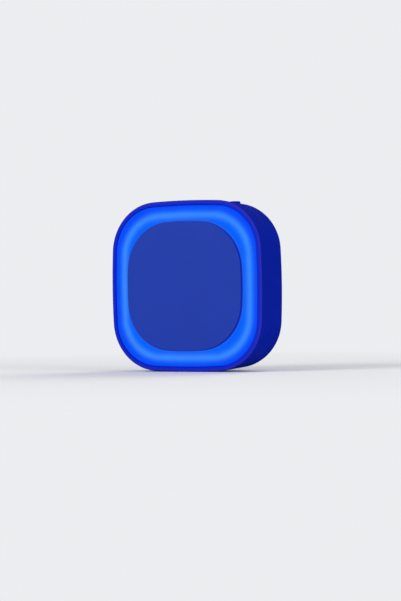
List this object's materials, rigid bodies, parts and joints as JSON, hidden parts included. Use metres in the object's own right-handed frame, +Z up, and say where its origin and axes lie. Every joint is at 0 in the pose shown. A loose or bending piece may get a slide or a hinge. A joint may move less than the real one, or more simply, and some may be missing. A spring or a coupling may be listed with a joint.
{
  "type": "plug in night light",
  "caption": "Rounded-square night light that plugs straight into a wall socket, with a glowing ring round a plain raised panel and a push button in its top edge.",
  "frame": {"origin": "on the rear face that rests on the wall plate, midway between the two plug blades", "axes": "+Z up, +Y into the wall along the blades, the face looks along -Y, +X to the right seen from the room"},
  "size_m": [0.0648, 0.0398, 0.0647],
  "materials": {
    "panel_plastic": "fine moulded texture",
    "rim_plastic": "fine moulded texture",
    "housing_plastic": "fine moulded texture",
    "button_plastic": "fine moulded texture",
    "led_board_mask": "white solder mask",
    "led_package": "white package with a pale lens",
    "zinc_steel": "zinc plated",
    "blade_brass": "nickel plated brass",
    "clamp_plastic": "black moulding",
    "driver_board_mask": "green solder mask",
    "capacitor_case": "moulded case",
    "capacitor_sleeve": "shrink sleeve",
    "resistor_lacquer": "lacquer",
    "varistor_coat": "dipped coating",
    "chip_epoxy": "moulding compound",
    "resistor_film": "glazed film",
    "header_plastic": "moulded nylon",
    "pin_gold": "gold flash",
    "line_insulation": "wire insulation",
    "neutral_insulation": "wire insulation",
    "switch_plastic": "moulded nylon",
    "ring_diffuser": "milky diffuser, lit from behind",
    "sensor_epoxy": "smoked epoxy",
    "window_clear": "clear lens"
  },
  "bodies": {
    "night_light": {"front_panel": "panel_plastic", "light_ring": "ring_diffuser", "front_frame": "rim_plastic", "led_board": "led_board_mask", "leds": "led_package", "led_board_screws": "zinc_steel", "rear_housing": "housing_plastic", "housing_screws": "zinc_steel", "line_blade": "blade_brass", "neutral_blade": "blade_brass", "blade_clamp": "clamp_plastic", "clamp_screws": "zinc_steel", "driver_board": "driver_board_mask", "driver_board_screws": "zinc_steel", "film_capacitor": "capacitor_case", "electrolytic_capacitor": "capacitor_sleeve", "fuse_resistor": "resistor_lacquer", "surge_varistor": "varistor_coat", "bridge_rectifier": "chip_epoxy", "controller_chip": "chip_epoxy", "driver_transistors": "chip_epoxy", "chip_resistors": "resistor_film", "header_block": "header_plastic", "header_pins": "pin_gold", "line_lead": "line_insulation", "neutral_lead": "neutral_insulation", "light_sensor": "sensor_epoxy", "sensor_window": "window_clear", "switch_body": "switch_plastic"},
    "button": {"mode_button": "button_plastic", "switch_plunger": "switch_plastic"}
  },
  "joints": [
    {"name": "button_press", "type": "slide", "parent": "night_light", "child": "button", "axis": [0, 0, -1], "range_m": [0, 0.0005], "stiffness_N_per_m": 2000, "springref_m": -0.0002}
  ]
}
